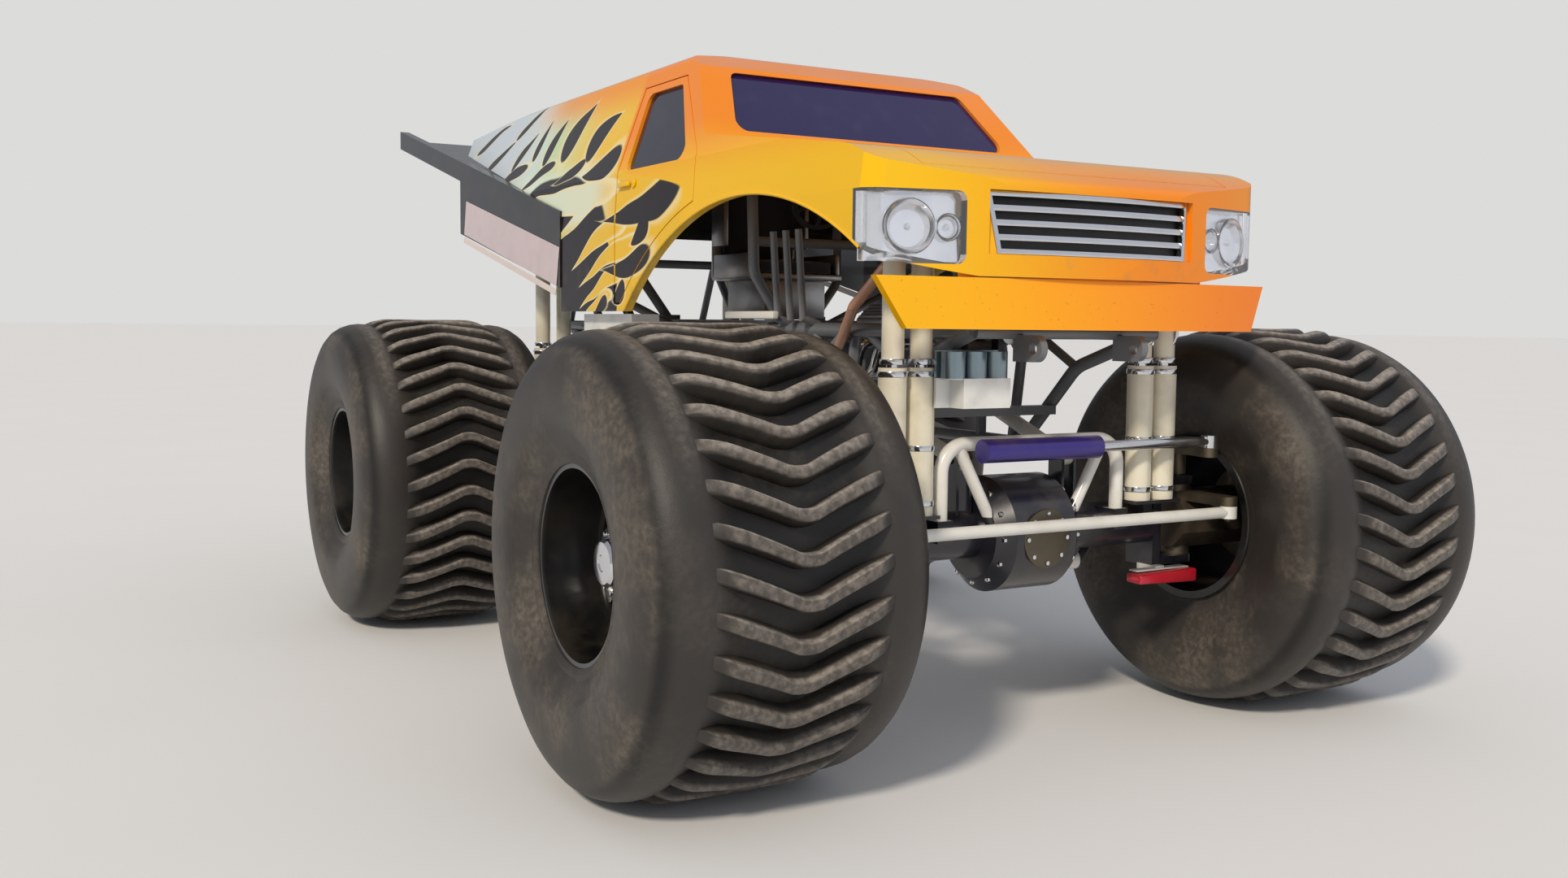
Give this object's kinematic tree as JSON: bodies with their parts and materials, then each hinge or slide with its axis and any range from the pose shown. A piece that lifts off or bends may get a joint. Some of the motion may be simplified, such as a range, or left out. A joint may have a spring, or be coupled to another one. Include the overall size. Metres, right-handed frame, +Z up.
{
  "type": "monster truck",
  "caption": "Full-size exhibition truck: utility body over a tube chassis, huge lugged tyres, steered front and rear axles, opening doors and hood.",
  "frame": {"origin": "on the ground under the middle of the whole outline", "axes": "+X forward, +Y to the truck's left, +Z up"},
  "size_m": [6.44, 3.94, 2.9879],
  "materials": {
    "tyre": "dusty moulded tread rubber",
    "rim": "black powder coat",
    "hub": "polished",
    "knuckle": "bare casting, dusty",
    "axle": "white enamel",
    "rod": "white enamel",
    "ram": "hard chrome",
    "link": "white enamel",
    "shock": "chromed",
    "frame_tube": "grey powder coat",
    "engine": "engine enamel",
    "case": "cast",
    "driveshaft": "white enamel",
    "body_paint": "clear-coated flame paint",
    "bumper_paint": "clear-coated orange",
    "glass": "tinted",
    "grille": "chromed",
    "lamp": "clear lens",
    "seat": "woven cover",
    "wheel_trim": "moulded",
    "deck": "black enamel"
  },
  "bodies": {
    "chassis": {"chassis": "frame_tube", "cage": "frame_tube", "tanks": "case", "engine": "engine", "transfer_case": "case", "driveshafts": "driveshaft", "body": "body_paint", "windscreen": "glass", "quarter_glass": "body_paint", "grille": "grille", "headlamps": "lamp", "front_bumper": "bumper_paint", "seat": "seat", "steering_wheel": "wheel_trim", "rear_deck": "deck", "axle_front": "axle", "links_front": "link", "shocks_front": "shock", "axle_rear": "axle", "links_rear": "link", "shocks_rear": "shock"},
    "hood": {"hood": "body_paint"},
    "door_left": {"door_left": "body_paint", "door_glass_left": "glass"},
    "door_right": {"door_right": "body_paint", "door_glass_right": "glass"},
    "tie_rod_front": {"tie_rod_front": "rod"},
    "tie_rod_rear": {"tie_rod_rear": "rod"},
    "ram_rod_front": {"ram_rod_front": "ram"},
    "ram_rod_rear": {"ram_rod_rear": "ram"},
    "knuckle_front_left": {"knuckle_front_left": "knuckle"},
    "wheel_front_left": {"hub_front_left": "hub", "rim_front_left": "rim", "tyre_front_left": "tyre"},
    "knuckle_front_right": {"knuckle_front_right": "knuckle"},
    "wheel_front_right": {"hub_front_right": "hub", "rim_front_right": "rim", "tyre_front_right": "tyre"},
    "knuckle_rear_left": {"knuckle_rear_left": "knuckle"},
    "wheel_rear_left": {"hub_rear_left": "hub", "rim_rear_left": "rim", "tyre_rear_left": "tyre"},
    "knuckle_rear_right": {"knuckle_rear_right": "knuckle"},
    "wheel_rear_right": {"hub_rear_right": "hub", "rim_rear_right": "rim", "tyre_rear_right": "tyre"}
  },
  "joints": [
    {"name": "steer_front_left", "type": "hinge", "parent": "chassis", "child": "knuckle_front_left", "pos_m": [2.382, 0.93, 0.838], "axis": [0, 0, 1], "range_deg": [-25, 25]},
    {"name": "roll_front_left", "type": "hinge", "parent": "knuckle_front_left", "child": "wheel_front_left", "pos_m": [2.382, 1.44, 0.838], "axis": [0, 1, 0], "continuous": true},
    {"name": "steer_front_right", "type": "hinge", "parent": "chassis", "child": "knuckle_front_right", "pos_m": [2.382, -0.93, 0.838], "axis": [0, 0, 1], "range_deg": [-25, 25]},
    {"name": "roll_front_right", "type": "hinge", "parent": "knuckle_front_right", "child": "wheel_front_right", "pos_m": [2.382, -1.44, 0.838], "axis": [0, 1, 0], "continuous": true},
    {"name": "steer_rear_left", "type": "hinge", "parent": "chassis", "child": "knuckle_rear_left", "pos_m": [-1.018, 0.93, 0.838], "axis": [0, 0, 1], "range_deg": [-25, 25]},
    {"name": "roll_rear_left", "type": "hinge", "parent": "knuckle_rear_left", "child": "wheel_rear_left", "pos_m": [-1.018, 1.44, 0.838], "axis": [0, 1, 0], "continuous": true},
    {"name": "steer_rear_right", "type": "hinge", "parent": "chassis", "child": "knuckle_rear_right", "pos_m": [-1.018, -0.93, 0.838], "axis": [0, 0, 1], "range_deg": [-25, 25]},
    {"name": "roll_rear_right", "type": "hinge", "parent": "knuckle_rear_right", "child": "wheel_rear_right", "pos_m": [-1.018, -1.44, 0.838], "axis": [0, 1, 0], "continuous": true},
    {"name": "tie_rod_front_pin", "type": "hinge", "parent": "knuckle_front_left", "child": "tie_rod_front", "pos_m": [2.682, 0.93, 0.898], "axis": [0, 0, 1], "range_deg": [-25, 25]},
    {"name": "tie_rod_rear_pin", "type": "hinge", "parent": "knuckle_rear_right", "child": "tie_rod_rear", "pos_m": [-1.318, -0.93, 0.898], "axis": [0, 0, 1], "range_deg": [-25, 25]},
    {"name": "ram_front_stroke", "type": "slide", "parent": "chassis", "child": "ram_rod_front", "axis": [0, 1, 0], "range_m": [-0.0974, 0.0974]},
    {"name": "ram_rear_stroke", "type": "slide", "parent": "chassis", "child": "ram_rod_rear", "axis": [0, -1, 0], "range_m": [-0.0974, 0.0974]},
    {"name": "hood_hinge", "type": "hinge", "parent": "chassis", "child": "hood", "pos_m": [1.452, 0, 2.473], "axis": [0, -1, 0], "range_deg": [0, 50]},
    {"name": "door_left_hinge", "type": "hinge", "parent": "chassis", "child": "door_left", "pos_m": [1.385, 0.965, 2.1], "axis": [0, 0, -1], "range_deg": [0, 65]},
    {"name": "door_right_hinge", "type": "hinge", "parent": "chassis", "child": "door_right", "pos_m": [1.385, -0.965, 2.1], "axis": [0, 0, 1], "range_deg": [0, 65]}
  ],
  "couplings": [
    {"joint": "steer_front_right", "follows": "steer_front_left", "ratio": 1},
    {"joint": "tie_rod_front_pin", "follows": "steer_front_left", "ratio": -1},
    {"joint": "ram_front_stroke", "follows": "steer_front_left", "m_per_rad": 0.2228},
    {"joint": "steer_rear_left", "follows": "steer_rear_right", "ratio": 1},
    {"joint": "tie_rod_rear_pin", "follows": "steer_rear_right", "ratio": -1},
    {"joint": "ram_rear_stroke", "follows": "steer_rear_right", "m_per_rad": 0.2228}
  ]
}
